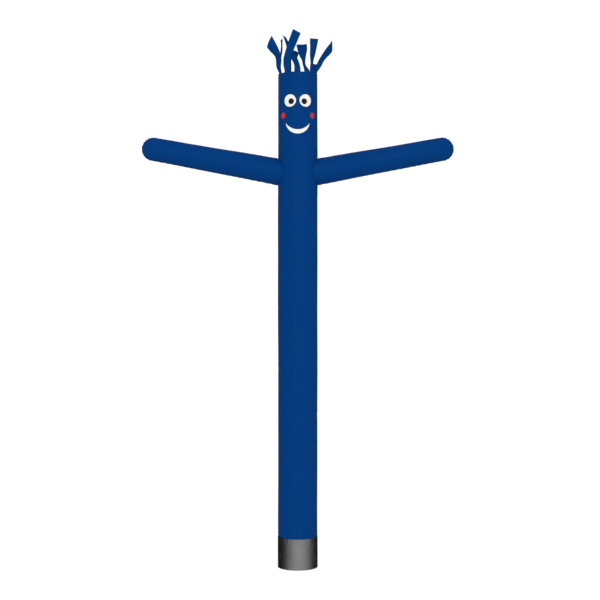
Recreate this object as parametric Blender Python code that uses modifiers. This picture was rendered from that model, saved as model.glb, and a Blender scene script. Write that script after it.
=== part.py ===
"""Inflatable air dancer: a tall nylon tube that stands inflated on a black blower sleeve.

The tube is one length of cloth with a hem at its open top. Two tapered arms are sewn round
holes in its sides, and each ends in a closed, rounded hand. A fringe of streamers is sewn inside
the top hem as hair, and the face is made of flat patches sewn to the front of the head.
Everything is a thin shell in the shape that the air gives it.

Run with: blender --background --python part.py
Units are metres, +Z is up and the face looks along -Y. The origin is the middle of the sleeve's
lower edge, on the ground.
"""

import math
from collections import namedtuple

import bmesh
import bpy
from mathutils import Matrix, Vector

# ---------------------------------------------------------------- driving dimensions
TUBE_RADIUS = 0.2286  # outside of the tube, which is 18 inches across
TUBE_TOP = 5.70  # height of the open rim above the floor
NYLON = 0.0015  # thickness of the blue cloth
VINYL = 0.0020  # thickness of the black sleeve's coated cloth
PATCH = 0.0010  # thickness of a face patch
SEWN_GAP = 0.0003  # left between two pieces that are sewn together

RIM_HEM = 0.030  # depth of the turned-in hem round the open top
SLEEVE_TOP = 0.356  # the sleeve is 14 inches high
SLEEVE_HEM = 0.040  # depth of the turned-in hem at the sleeve's foot
SLEEVE_LAP = 0.040  # how far the tube's lower edge is sewn down inside the sleeve

ARM_TILT = math.radians(10.25)  # the arms rise outwards
ARM_AXIS_HEIGHT = 4.535  # where both arms' axes cross the tube's axis
ARM_ROOT_RADIUS = 0.1560  # at the tube's axis; the arm tapers from there
ARM_HAND_RADIUS = 0.1345  # where the straight part ends and the hand rounds off
ARM_REACH = 1.808  # from the tube's axis to the tip of the hand, across
ARM_START = 0.12  # the arm's pattern is cut back to the tube's wall from here
HAND_FLATNESS = 0.64  # depth of the hand at its tip, as a share of its height
HAND_BLEND = 1.5  # the flattening starts this many hand radii from the tip

STREAMER_ROOT_WIDTH = 0.072
STREAMER_SEWN = 0.028  # length of a streamer that lies inside the hem
STREAMER_CLEAR = 0.004  # it is still straight this far above the rim

TUBE_SIDES = 72  # facets round the tube and all that follows it
ARM_SIDES = 36
HAND_RINGS = 6
DISC_SIDES = 36  # round the outline of a face patch

TUBE_INSIDE = TUBE_RADIUS - NYLON
RIM_INSIDE = TUBE_RADIUS - 2 * NYLON
FACET_SAG = RIM_INSIDE * (1 - math.cos(math.pi / TUBE_SIDES))  # a facet's middle lies this far in
STREAMER_RADIUS = RIM_INSIDE - FACET_SAG - SEWN_GAP - NYLON / 2  # middle of its cloth at the root
SLEEVE_INSIDE = TUBE_RADIUS + SEWN_GAP
SLEEVE_OUTSIDE = SLEEVE_INSIDE + VINYL

# ---------------------------------------------------------------- colours
BLUE = (0.002, 0.046, 0.205, 1.0)
BLACK_VINYL = (0.030, 0.030, 0.032, 1.0)
WHITE = (0.86, 0.86, 0.84, 1.0)
BLACK = (0.008, 0.008, 0.009, 1.0)
RED = (0.62, 0.030, 0.022, 1.0)

# ---------------------------------------------------------------- the streamers
# around: place on the rim in degrees, 0 at the front and 90 on the +X side.
# width: of the cloth at the free end. slant: how much longer the edge that is on the +X side when
# the streamer faces the front is cut than the other edge.
# low, mid and tip: where the middle of the cloth has got to on its way up, measured from its
# place on the rim, and which way it faces there in degrees (0 has its outer face to the front).
Hold = namedtuple("Hold", "across back up turn")
Streamer = namedtuple("Streamer", "name around width slant low mid tip")
STREAMERS = (
    Streamer(
        "streamer_front_1", around=-66, width=0.120, slant=0.085,
        low=Hold(-0.016, -0.004, 0.075, -46),
        mid=Hold(-0.027, -0.009, 0.205, -40),
        tip=Hold(-0.127, -0.029, 0.368, -4),
    ),
    Streamer(
        "streamer_front_2", around=-33, width=0.100, slant=-0.01,
        low=Hold(-0.006, -0.010, 0.080, -14),
        mid=Hold(0.000, -0.028, 0.160, -8),
        tip=Hold(0.112, -0.058, 0.457, 8),
    ),
    Streamer(
        "streamer_front_3", around=-1, width=0.100, slant=0.0,
        low=Hold(-0.003, 0.010, 0.080, 30),
        mid=Hold(-0.038, 0.030, 0.160, 24),
        tip=Hold(-0.148, 0.125, 0.432, 70),
    ),
    Streamer(
        "streamer_front_4", around=28, width=0.118, slant=-0.012,
        low=Hold(-0.028, 0.003, 0.084, 64),
        mid=Hold(-0.038, -0.029, 0.168, 48),
        tip=Hold(-0.062, -0.150, 0.280, 0),
    ),
    Streamer(
        "streamer_front_5", around=49, width=0.095, slant=0.0,
        low=Hold(-0.003, -0.008, 0.098, 64),
        mid=Hold(0.003, -0.024, 0.204, 50),
        tip=Hold(0.019, -0.063, 0.378, 6),
    ),
    Streamer(
        "streamer_front_6", around=68, width=0.095, slant=-0.095,
        low=Hold(0.026, -0.001, 0.071, 46),
        mid=Hold(0.092, -0.006, 0.195, 38),
        tip=Hold(0.193, -0.016, 0.314, 26),
    ),
    Streamer(
        "streamer_back_1", around=98, width=0.095, slant=0.0,
        low=Hold(0.022, 0.019, 0.114, 88),
        mid=Hold(0.066, 0.039, 0.200, 80),
        tip=Hold(0.125, 0.059, 0.273, 70),
    ),
    Streamer(
        "streamer_back_2", around=130, width=0.090, slant=0.0,
        low=Hold(0.010, 0.030, 0.122, 142),
        mid=Hold(0.016, 0.125, 0.168, 165),
        tip=Hold(0.008, 0.226, 0.030, 184),
    ),
    Streamer(
        "streamer_back_3", around=156, width=0.098, slant=0.0,
        low=Hold(-0.004, 0.022, 0.046, 162),
        mid=Hold(-0.016, 0.088, 0.044, 170),
        tip=Hold(-0.050, 0.190, -0.170, 176),
    ),
    Streamer(
        "streamer_back_4", around=180, width=0.095, slant=0.0,
        low=Hold(-0.008, -0.004, 0.146, 130),
        mid=Hold(-0.032, -0.024, 0.230, 130),
        tip=Hold(-0.018, -0.064, 0.305, 130),
    ),
    Streamer(
        "streamer_back_5", around=-152, width=0.095, slant=0.0,
        low=Hold(-0.006, 0.015, 0.144, -152),
        mid=Hold(-0.005, 0.030, 0.254, -150),
        tip=Hold(0.018, 0.060, 0.360, -135),
    ),
    Streamer(
        "streamer_back_6", around=-116, width=0.095, slant=0.0,
        low=Hold(-0.010, 0.022, 0.127, -98),
        mid=Hold(0.005, 0.042, 0.248, -76),
        tip=Hold(0.009, 0.062, 0.444, -74),
    ),
)
STREAMER_ROWS = 12  # quads along a streamer
STREAMER_COLUMNS = 4  # quads across it
STREAMER_CUP = 0.35  # how much of the rim's curve is left across a streamer's tip

# ---------------------------------------------------------------- the face
# around and height: the middle of the patch, in degrees from the front and above the floor.
# layer: 0 is sewn to the tube, 1 to the patch below it.
RoundPatch = namedtuple("RoundPatch", "name around height radius layer colour")
ROUND_PATCHES = (
    RoundPatch("eye_white_left", -23, 5.370, 0.072, 0, WHITE),
    RoundPatch("eye_white_right", 23, 5.370, 0.072, 0, WHITE),
    RoundPatch("pupil_left", -19, 5.360, 0.032, 1, BLACK),
    RoundPatch("pupil_right", 19, 5.360, 0.032, 1, BLACK),
    RoundPatch("cheek_left", -47, 5.205, 0.034, 0, RED),
    RoundPatch("cheek_right", 47, 5.205, 0.034, 0, RED),
)
SMILE_RADIUS = 0.135  # the smile is what is left of a disc of this radius
SMILE_HEIGHT = 5.125  # middle of that disc
SMILE_BITE_RADIUS = 0.155  # when a larger disc is taken from its top
SMILE_BITE_HEIGHT = 5.195


# ---------------------------------------------------------------- helpers
def clear_scene():
    for obj in list(bpy.data.objects):
        bpy.data.objects.remove(obj, do_unlink=True)


def new_collection(name):
    made = bpy.data.collections.new(name)
    bpy.context.scene.collection.children.link(made)
    return made


def cloth_material(name, colour, roughness):
    made = bpy.data.materials.new(name)
    made.use_nodes = True
    shader = made.node_tree.nodes["Principled BSDF"]
    shader.inputs["Base Color"].default_value = colour
    shader.inputs["Roughness"].default_value = roughness
    shader.inputs["Metallic"].default_value = 0.0
    made.diffuse_color = colour
    return made


def add_object(name, mesh, collection, material=None):
    obj = bpy.data.objects.new(name, mesh)
    collection.objects.link(obj)
    if material:
        mesh.materials.append(material)
    return obj


def add_shape(name, shape, collection, material=None):
    """An object from a bmesh, which is freed, shaded smooth where it is round."""
    mesh = bpy.data.meshes.new(name)
    shape.to_mesh(mesh)
    shape.free()
    mesh.shade_smooth()
    mesh.set_sharp_from_angle(angle=math.radians(35))
    return add_object(name, mesh, collection, material)


def turned(name, profile, sides, collection, material=None):
    """A ring turned about Z from a closed outline of (radius, height), down its outer side first."""
    mesh = bpy.data.meshes.new(name)
    count = len(profile)
    edges = [(i, (i + 1) % count) for i in range(count)]
    mesh.from_pydata([(radius, 0.0, height) for radius, height in profile], edges, [])
    obj = add_object(name, mesh, collection, material)
    screw = obj.modifiers.new("turn", "SCREW")
    screw.steps = screw.render_steps = sides
    screw.use_merge_vertices = True
    screw.merge_threshold = 0.0001
    return obj


def rod_cutter(name, radii, ends, sides, frame, collection):
    """A rod or cone along the Z axis of its own frame, from one place on that axis to another."""
    start, end = ends
    shape = bmesh.new()
    bmesh.ops.create_cone(
        shape,
        cap_ends=True,
        segments=sides,
        radius1=radii[0],
        radius2=radii[1],
        depth=end - start,
        matrix=Matrix.Translation((0, 0, (start + end) / 2)),
    )
    obj = add_shape(name, shape, collection)
    obj.matrix_world = frame
    obj.hide_render = True
    obj.display_type = "WIRE"
    return obj


def cut(obj, tool, operation="DIFFERENCE"):
    boolean = obj.modifiers.new(tool.name, "BOOLEAN")
    boolean.object = tool
    boolean.operation = operation
    boolean.solver = "EXACT"


def smooth_step(x):
    x = min(max(x, 0.0), 1.0)
    return x * x * (3 - 2 * x)


# ---------------------------------------------------------------- tube and sleeve
def make_tube(collection, material):
    """The body and head in one length of cloth, open at both ends, with its top hem turned in."""
    foot = SLEEVE_TOP - SLEEVE_LAP
    profile = [
        (TUBE_RADIUS, TUBE_TOP),
        (TUBE_RADIUS, foot),
        (TUBE_INSIDE, foot),
        (TUBE_INSIDE, TUBE_TOP - RIM_HEM),
        (RIM_INSIDE, TUBE_TOP - RIM_HEM),
        (RIM_INSIDE, TUBE_TOP),
    ]
    return turned("tube", profile, TUBE_SIDES, collection, material)


def make_sleeve(collection, material):
    """The black sleeve that goes over the blower, outside the tube's edge, with a hem at its foot."""
    profile = [
        (SLEEVE_OUTSIDE, SLEEVE_TOP),
        (SLEEVE_OUTSIDE, 0.0),
        (SLEEVE_INSIDE - VINYL, 0.0),
        (SLEEVE_INSIDE - VINYL, SLEEVE_HEM),
        (SLEEVE_INSIDE, SLEEVE_HEM),
        (SLEEVE_INSIDE, SLEEVE_TOP),
    ]
    return turned("sleeve", profile, TUBE_SIDES, collection, material)


# ---------------------------------------------------------------- arms
def arm_frame(side):
    """The arm's own frame, with Z out along its axis and Y towards the back. side is -1 or 1."""
    outwards = Vector((side * math.cos(ARM_TILT), 0.0, math.sin(ARM_TILT)))
    back = Vector((0.0, 1.0, 0.0))
    frame = Matrix((back.cross(outwards), back, outwards)).transposed().to_4x4()
    frame.translation = (0.0, 0.0, ARM_AXIS_HEIGHT)
    return frame


ARM_TIP = ARM_REACH / math.cos(ARM_TILT) - ARM_HAND_RADIUS * (1 / math.cos(ARM_TILT) - 1)
ARM_WRIST = ARM_TIP - ARM_HAND_RADIUS  # where the hand starts, along the arm's axis


def arm_radius(along):
    """Outside radius of the arm's straight part, this far along its axis from the tube's."""
    return ARM_ROOT_RADIUS + (ARM_HAND_RADIUS - ARM_ROOT_RADIUS) * along / ARM_WRIST


def arm_profile():
    """(radius, place along the axis) from the tip of the hand back to the start of the arm."""
    rounded = [
        (
            ARM_HAND_RADIUS * math.sin(0.5 * math.pi * i / HAND_RINGS),
            ARM_WRIST + ARM_HAND_RADIUS * math.cos(0.5 * math.pi * i / HAND_RINGS),
        )
        for i in range(HAND_RINGS + 1)
    ]
    blend = ARM_TIP - HAND_BLEND * ARM_HAND_RADIUS
    return rounded + [(arm_radius(along), along) for along in (blend, ARM_START)]


def make_arm(name, side, tube_core, collection, material):
    """A tapered tube of cloth with a closed, slightly flattened hand, cut to the tube's wall."""
    shape = bmesh.new()
    points = [shape.verts.new((radius, 0.0, along)) for radius, along in arm_profile()]
    edges = [shape.edges.new(pair) for pair in zip(points, points[1:])]
    bmesh.ops.spin(
        shape,
        geom=points + edges,
        cent=(0, 0, 0),
        axis=(0, 0, 1),
        angle=2 * math.pi,
        steps=ARM_SIDES,
        use_merge=True,
    )
    bmesh.ops.remove_doubles(shape, verts=shape.verts, dist=1e-5)
    for vertex in shape.verts:
        from_tip = (ARM_TIP - vertex.co.z) / (HAND_BLEND * ARM_HAND_RADIUS)
        vertex.co.y *= HAND_FLATNESS + (1 - HAND_FLATNESS) * smooth_step(from_tip)
    bmesh.ops.recalc_face_normals(shape, faces=shape.faces)
    obj = add_shape(name, shape, collection, material)
    obj.matrix_world = arm_frame(side)
    shell = obj.modifiers.new("cloth", "SOLIDIFY")
    shell.thickness = NYLON
    shell.offset = -1
    cut(obj, tube_core)
    return obj


def make_arm_hole(name, side, collection):
    """What is cut from the tube's wall where an arm opens into it, as wide as the arm inside."""
    ends = ARM_START, 2 * TUBE_RADIUS
    radii = [arm_radius(along) - NYLON for along in ends]
    return rod_cutter(name, radii, ends, ARM_SIDES, arm_frame(side), collection)


def make_tube_core(collection):
    """A solid as wide as the tube and its sewing gap, that the arms' roots are cut to."""
    radius = TUBE_RADIUS + SEWN_GAP
    frame = Matrix.Translation((0, 0, ARM_AXIS_HEIGHT))
    return rod_cutter("tube_core", (radius, radius), (-0.5, 0.5), TUBE_SIDES, frame, collection)


# ---------------------------------------------------------------- streamers
def rim_point(degrees, radius):
    angle = math.radians(degrees)
    return Vector((radius * math.sin(angle), -radius * math.cos(angle), 0.0))


def through(stations, values, slope, at):
    """A smooth curve through a value at each station, with a given slope at the first one."""
    last = len(stations) - 1
    i = next((k for k in range(last) if at <= stations[k + 1]), last - 1)
    slopes = [slope]
    for k in range(1, last + 1):
        high = min(k + 1, last)
        slopes.append((values[high] - values[k - 1]) * (1 / (stations[high] - stations[k - 1])))
    span = stations[i + 1] - stations[i]
    t = (at - stations[i]) / span
    return (
        values[i] * (2 * t**3 - 3 * t**2 + 1)
        + slopes[i] * span * (t**3 - 2 * t**2 + t)
        + values[i + 1] * (3 * t**2 - 2 * t**3)
        + slopes[i + 1] * span * (t**3 - t**2)
    )


def make_streamer(row, collection, material):
    """A strip of cloth that leaves the rim upright, curved as it is, then blows its own way."""
    root = rim_point(row.around, STREAMER_RADIUS) + Vector((0, 0, TUBE_TOP))
    upright = Vector((0, 0, 1))
    stations = [STREAMER_CLEAR]
    places = [root + upright * STREAMER_CLEAR]
    turns = [row.around]
    for hold in (row.low, row.mid, row.tip):
        place = root + Vector((hold.across, hold.back, hold.up))
        stations.append(stations[-1] + (place - places[-1]).length)
        places.append(place)
        turns.append(hold.turn)
    length = stations[-1]

    def middle(at):
        if at < STREAMER_CLEAR:
            return root + upright * at
        return through(stations, places, upright, at)

    shape = bmesh.new()
    bmesh.ops.create_grid(shape, x_segments=STREAMER_COLUMNS, y_segments=STREAMER_ROWS, size=0.5)
    for vertex in shape.verts:
        across, up = vertex.co.x, (vertex.co.y + 0.5) * STREAMER_ROWS
        if up < 0.5:
            at = -STREAMER_SEWN
        else:
            at = STREAMER_CLEAR + (length - STREAMER_CLEAR) * (up - 1) / (STREAMER_ROWS - 1)
        share = smooth_step(at / length)
        at += row.slant * across * share
        width = STREAMER_ROOT_WIDTH + (row.width - STREAMER_ROOT_WIDTH) * share
        along = (middle(at + 0.001) - middle(at - 0.001)).normalized()
        turn = math.radians(through(stations, turns, 0, max(at, STREAMER_CLEAR)))
        sideways = Vector((math.cos(turn), math.sin(turn), 0.0))
        sideways = (sideways - along * sideways.dot(along)).normalized()
        outwards = sideways.cross(along)
        # The cloth has the rim's curve across it at its root, and loses most of it by its tip.
        bend = (1 - (1 - STREAMER_CUP) * share) / STREAMER_RADIUS
        angle = across * width * bend
        vertex.co = (
            middle(at)
            + sideways * (math.sin(angle) / bend)
            + outwards * ((math.cos(angle) - 1) / bend)
        )
    obj = add_shape(row.name, shape, collection, material)
    shell = obj.modifiers.new("cloth", "SOLIDIFY")
    shell.thickness = NYLON
    shell.offset = 0
    return obj


# ---------------------------------------------------------------- face
def make_patch(name, layer, outline, collection, material):
    """A patch of cloth cut to an outline, which lies round the head on the tube or on a patch."""
    inside = TUBE_RADIUS + SEWN_GAP + layer * (PATCH + SEWN_GAP)
    outside = inside + PATCH
    low, high = TUBE_TOP - 0.80, TUBE_TOP - 0.15
    profile = [(outside, high), (outside, low), (inside, low), (inside, high)]
    obj = turned(name, profile, TUBE_SIDES, collection, material)
    cut(obj, outline, "INTERSECT")
    return obj


def disc_cutter(name, around, height, radius, collection):
    """A rod that goes through the wall of the head at one place, square to it."""
    frame = (
        Matrix.Translation((0, 0, height))
        @ Matrix.Rotation(math.radians(around), 4, "Z")
        @ Matrix.Rotation(math.pi / 2, 4, "X")
    )
    return rod_cutter(name, (radius, radius), (0.04, 0.30), DISC_SIDES, frame, collection)


def make_face(collection, cutters, materials):
    for row in ROUND_PATCHES:
        outline = disc_cutter(row.name + "_outline", row.around, row.height, row.radius, cutters)
        make_patch(row.name, row.layer, outline, collection, materials[row.colour])
    smile_disc = disc_cutter("smile_disc", 0, SMILE_HEIGHT, SMILE_RADIUS, cutters)
    smile_bite = disc_cutter("smile_bite", 0, SMILE_BITE_HEIGHT, SMILE_BITE_RADIUS, cutters)
    smile = make_patch("smile", 0, smile_disc, collection, materials[WHITE])
    cut(smile, smile_bite)


def main():
    clear_scene()
    parts = new_collection("air_dancer")
    cutters = new_collection("cutters")
    nylon = cloth_material("blue_nylon", BLUE, 0.55)
    vinyl = cloth_material("black_vinyl", BLACK_VINYL, 0.42)
    patch_cloths = {
        WHITE: cloth_material("white_patch", WHITE, 0.6),
        BLACK: cloth_material("black_patch", BLACK, 0.5),
        RED: cloth_material("red_patch", RED, 0.6),
    }

    tube = make_tube(parts, nylon)
    make_sleeve(parts, vinyl)
    tube_core = make_tube_core(cutters)
    for name, side in (("arm_left", -1), ("arm_right", 1)):
        make_arm(name, side, tube_core, parts, nylon)
        cut(tube, make_arm_hole(name + "_hole", side, cutters))
    for row in STREAMERS:
        make_streamer(row, parts, nylon)
    make_face(parts, cutters, patch_cloths)


main()
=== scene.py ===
"""Inflatable air dancer: a blue ripstop nylon figure on a black vinyl blower sleeve, as it stands
when it is blown up. Metres, +Z up, and the face looks along -Y."""

import functools
import math
from collections import namedtuple

import bmesh
import bpy
from mathutils import Matrix, Vector


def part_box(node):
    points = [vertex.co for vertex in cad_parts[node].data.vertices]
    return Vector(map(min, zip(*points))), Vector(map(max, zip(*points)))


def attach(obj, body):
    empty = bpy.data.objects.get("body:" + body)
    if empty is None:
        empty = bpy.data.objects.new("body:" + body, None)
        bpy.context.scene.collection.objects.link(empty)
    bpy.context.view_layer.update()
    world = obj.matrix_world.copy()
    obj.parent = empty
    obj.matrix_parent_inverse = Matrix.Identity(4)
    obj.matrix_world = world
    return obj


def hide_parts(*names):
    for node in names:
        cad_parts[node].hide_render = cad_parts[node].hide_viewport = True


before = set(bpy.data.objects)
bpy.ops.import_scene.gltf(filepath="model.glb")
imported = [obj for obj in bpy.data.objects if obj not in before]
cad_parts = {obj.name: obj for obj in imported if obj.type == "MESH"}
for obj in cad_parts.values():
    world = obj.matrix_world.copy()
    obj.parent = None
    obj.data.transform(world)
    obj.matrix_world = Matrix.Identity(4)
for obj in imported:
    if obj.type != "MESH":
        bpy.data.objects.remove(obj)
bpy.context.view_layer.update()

# ---------------------------------------------------------------- the tube
# The body and head are one panel of ripstop nylon, rolled and sewn down the back, with its top
# edge turned in as a hem and a round hole in each side for an arm. The air holds it out tight, so
# it only puckers beside its seams and where the arms pull on it.
tube_low, tube_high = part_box("tube")
TUBE_RADIUS = tube_high.x
TUBE_TOP, TUBE_FOOT = tube_high.z, tube_low.z
SLEEVE_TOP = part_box("sleeve")[1].z
NYLON = 0.0008  # thickness of the blue cloth
RIM_HEM = 0.030  # depth of the turned-in hem
HEM_FOLD = 0.0010  # radius of its fold
HEM_ROWS = (0.007, RIM_HEM - 0.004)  # its two rows of stitches, this far below the rim
TUBE_STRAIGHT = TUBE_TOP - HEM_FOLD - TUBE_FOOT  # the cloth's length from the foot to the fold
TUBE_FLAT = (2 * math.pi * TUBE_RADIUS, TUBE_TOP - TUBE_FOOT + RIM_HEM)
HALF_TURN = math.pi

# The arms' axes, which the puckers round their roots on the tube also need.
ARM_TILT = math.radians(10.25)
ARM_AXIS_HEIGHT = 4.535
ARM_ROOT_RADIUS = 0.1560
ARM_HAND_RADIUS = 0.1345
ARM_TIP = 1.835  # from the tube's axis, along the arm's
ARM_WRIST = ARM_TIP - ARM_HAND_RADIUS

# The cloth beside a seam is drawn in to a groove and puckers.
GROOVE_WIDTH = 0.008
GROOVE_DEPTH = 0.0030
PUCKER_HEIGHT = 0.0025
PUCKER_START = 0.014  # from the seam, where the puckers are at their full height
PUCKER_FADE = 0.045
ROOT_GROOVE_WIDTH = 0.009
ROOT_GROOVE_DEPTH = 0.0032
ROOT_PUCKER_HEIGHT = 0.0024
ROOT_PUCKER_FADE = 0.055

# The rim's hem and the sleeve's edge gather the cloth: how high the gathers are, and how far from
# the edge they fade. A row of stitches draws it in.
RIM_GATHERS, RIM_GATHERS_FADE = 0.0013, 0.09
SLEEVE_GATHERS, SLEEVE_GATHERS_FADE = 0.0015, 0.06
HEM_GROOVE_DEPTH, HEM_GROOVE_WIDTH = 0.0014, 0.005
SLEEVE_PINCH_DEPTH, SLEEVE_PINCH_WIDTH = 0.0022, 0.02

# Creases where the arms drag the chest up and where the trunk has settled: the middle of each on
# the tube's wall, the way it runs (0 is level, 90 upright), its length, width and depth.
Crease = namedtuple("Crease", "around height runs length width depth")
CREASES = (
    Crease(-34, 4.27, -58, 0.30, 0.022, 0.0050),
    Crease(-52, 4.20, -66, 0.34, 0.026, 0.0060),
    Crease(-16, 4.36, -40, 0.22, 0.020, 0.0032),
    Crease(37, 4.25, 60, 0.32, 0.024, 0.0054),
    Crease(55, 4.17, 70, 0.30, 0.024, 0.0046),
    Crease(14, 4.38, 35, 0.20, 0.020, 0.0030),
    Crease(-37, 4.80, 55, 0.16, 0.020, 0.0034),
    Crease(40, 4.82, -52, 0.18, 0.020, 0.0036),
    Crease(146, 4.24, -60, 0.32, 0.024, 0.0052),
    Crease(125, 4.18, -70, 0.30, 0.026, 0.0050),
    Crease(-143, 4.26, 62, 0.30, 0.024, 0.0050),
    Crease(-124, 4.16, 72, 0.34, 0.024, 0.0056),
    Crease(20, 3.42, 12, 0.36, 0.030, 0.0030),
    Crease(-150, 3.05, -14, 0.40, 0.030, 0.0034),
    Crease(-60, 2.30, 9, 0.34, 0.028, 0.0028),
    Crease(75, 1.78, -10, 0.38, 0.030, 0.0030),
    Crease(-15, 1.12, -8, 0.40, 0.026, 0.0026),
    Crease(165, 1.35, 16, 0.36, 0.030, 0.0032),
)


def bell(distance, width):
    """1 at no distance, and falls off smoothly on both sides."""
    return math.exp(-((distance / width) ** 2))


def smooth_step(share):
    """Rises smoothly from 0 to 1 as the share does."""
    share = min(max(share, 0.0), 1.0)
    return share * share * (3 - 2 * share)


def turned_from(angle, middle):
    """How far angle is turned from middle, between minus and plus half a turn, in radians."""
    return (angle - middle + math.pi) % (2 * math.pi) - math.pi


def on_wall(around, height, radius):
    """A point round the tube's axis. around is 0 at the front and a quarter turn on the +X side."""
    return Vector((radius * math.sin(around), -radius * math.cos(around), height))


def arm_radius(along):
    """The arm tapers evenly from the tube's axis to the wrist."""
    return ARM_ROOT_RADIUS + (ARM_HAND_RADIUS - ARM_ROOT_RADIUS) * along / ARM_WRIST


def arm_axes(side):
    """The arm's directions: outwards along it, up across it, and round it from its top."""
    outwards = Vector((side * math.cos(ARM_TILT), 0, math.sin(ARM_TILT)))
    up = Vector((-side * math.sin(ARM_TILT), 0, math.cos(ARM_TILT)))
    return outwards, up, Vector((0, -side, 0))


def root_pucker(turn, from_seam):
    """How far the cloth stands out beside the seam round an arm's root, on the tube or the arm."""
    waves = math.sin(19 * turn + 1.4 * math.sin(3 * turn)) + 0.5 * math.sin(31 * turn + 2)
    puckers = ROOT_PUCKER_HEIGHT * waves * math.exp(-from_seam / ROOT_PUCKER_FADE)
    return puckers - ROOT_GROOVE_DEPTH * bell(from_seam, ROOT_GROOVE_WIDTH)


def beside_seam(across):
    """How strong a long seam's puckers are, by how far across from it."""
    return smooth_step(abs(across) / PUCKER_START) * math.exp(-abs(across) / PUCKER_FADE)


def seam_pucker(along, across):
    """How far the cloth stands out beside a long seam, at a place along it and across from it."""
    side = 1 if across > 0 else -1
    wave = math.sin(along / 0.0125 + 1.3 * math.sin(along / 0.11) + 0.8 * side)
    strength = (0.65 + 0.35 * math.sin(along / 0.19 + side)) * beside_seam(across)
    return PUCKER_HEIGHT * strength * wave - GROOVE_DEPTH * bell(across, GROOVE_WIDTH)


def trough(crease, run, rise, sway, sway_length, ridge, ridge_at):
    """How deep a crease is at a place run and rise from its middle. It sways as it goes, and the
    cloth bulges beside it in a ridge, so many of the crease's widths away."""
    lean = math.radians(crease.runs)
    along = run * math.cos(lean) + rise * math.sin(lean)
    across = rise * math.cos(lean) - run * math.sin(lean) + sway * math.sin(along / sway_length)
    bulge = ridge * bell(across - ridge_at * crease.width, crease.width)
    section = bell(across, crease.width) - bulge
    return crease.depth * section * bell(along, crease.length / 2)


def beside_arm(around, height):
    """How far the tube's cloth stands out round the seam of the nearer arm."""
    outwards, up, round_it = arm_axes(1 if math.sin(around) > 0 else -1)
    place = on_wall(around, height - ARM_AXIS_HEIGHT, TUBE_RADIUS)
    along = place.dot(outwards)
    if along <= 0:
        return 0.0
    above, forward = place.dot(up), place.dot(round_it)
    from_seam = max(math.hypot(above, forward) - arm_radius(along), 0.0)
    towards_arm = smooth_step(abs(math.sin(around)) / 0.4)
    return towards_arm * root_pucker(math.atan2(forward, above), from_seam)


def wall(around, height):
    """How far the tube's outer face is from its axis, in one direction and at one height."""
    # The air never holds it quite round.
    out = (
        0.0012 * math.sin(2 * around + 1.3 * height)
        + 0.0009 * math.sin(3 * around - 2.1 * height + 1)
        + 0.0007 * math.sin(around + 5.3 * height)
    )
    out += seam_pucker(height, turned_from(around, HALF_TURN) * TUBE_RADIUS)

    below_rim = max(TUBE_TOP - height, 0.0)
    gathers = math.sin(23 * around + 1.5 * math.sin(4 * around)) + 0.6 * math.sin(14 * around + 1)
    out += RIM_GATHERS * gathers * math.exp(-below_rim / RIM_GATHERS_FADE)
    out -= HEM_GROOVE_DEPTH * bell(below_rim - HEM_ROWS[1], HEM_GROOVE_WIDTH)

    from_sleeve = abs(height - SLEEVE_TOP)
    gathers = math.sin(21 * around + 1.7 * math.sin(3 * around + 1)) + 0.5 * math.sin(34 * around)
    gathers *= math.exp(-from_sleeve / SLEEVE_GATHERS_FADE)
    out += SLEEVE_GATHERS * gathers * smooth_step(from_sleeve / SLEEVE_PINCH_WIDTH)
    if height > SLEEVE_TOP:
        out -= SLEEVE_PINCH_DEPTH * bell(from_sleeve, SLEEVE_PINCH_WIDTH)

    if abs(height - ARM_AXIS_HEIGHT) < 0.6:
        out += beside_arm(around, height)
    for crease in CREASES:
        rise = height - crease.height
        if abs(rise) < crease.length:
            run = turned_from(around, math.radians(crease.around)) * TUBE_RADIUS
            out -= trough(crease, run, rise, sway=0.012, sway_length=0.07, ridge=0.45, ridge_at=1.6)
    return TUBE_RADIUS + out


class Signal:
    """What comes out of a material's node. Arithmetic on it adds the Math nodes."""

    def __init__(self, socket):
        self.socket = socket

    def node(self, kind, settings=(), inputs=(), output=0):
        """Any other node of the same material: its settings first, then its sockets' values."""
        tree = self.socket.id_data
        made = tree.nodes.new("ShaderNode" + kind)
        for name, value in dict(settings).items():
            setattr(made, name, value)
        for name, value in dict(inputs).items():
            if isinstance(value, Signal):
                tree.links.new(value.socket, made.inputs[name])
            else:
                made.inputs[name].default_value = value
        return Signal(made.outputs[output])

    def other(self, output):
        """Another output of the node that this one comes from."""
        return Signal(self.socket.node.outputs[output])

    def maths(self, operation, *values):
        return self.node("Math", {"operation": operation}, enumerate(values))

    def __add__(self, other):
        return self.maths("ADD", self, other)

    __radd__ = __add__

    def __sub__(self, other):
        return self.maths("SUBTRACT", self, other)

    def __rsub__(self, other):
        return self.maths("SUBTRACT", other, self)

    def __mul__(self, other):
        return self.maths("MULTIPLY", self, other)

    __rmul__ = __mul__

    def between(self, low, high):
        """Rises smoothly from 0 at low to 1 at high."""
        return self.node(
            "MapRange",
            {"interpolation_type": "SMOOTHSTEP"},
            {"Value": self, "From Min": low, "From Max": high, "To Min": 0.0, "To Max": 1.0},
        )

    def mixed(self, first, second):
        """A colour between two, by this value."""
        return self.node("Mix", {"data_type": "RGBA"}, {0: self, 6: first, 7: second}, output=2)


def new_finish(name, roughness, specular, coordinates="UV"):
    """A new material's shader, and a Signal of the coordinates that its patterns follow."""
    made = bpy.data.materials.new(name)
    made.use_nodes = True
    shader = made.node_tree.nodes["Principled BSDF"]
    shader.inputs["Roughness"].default_value = roughness
    shader.inputs["Specular IOR Level"].default_value = specular
    source = made.node_tree.nodes.new("ShaderNodeTexCoord")
    return made, shader, Signal(source.outputs[coordinates])


def plug(shader, **sockets):
    """Links signals to the shader's sockets. Base_Color stands for the socket Base Color."""
    for name, signal in sockets.items():
        shader.id_data.links.new(signal.socket, shader.inputs[name.replace("_", " ")])


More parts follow.
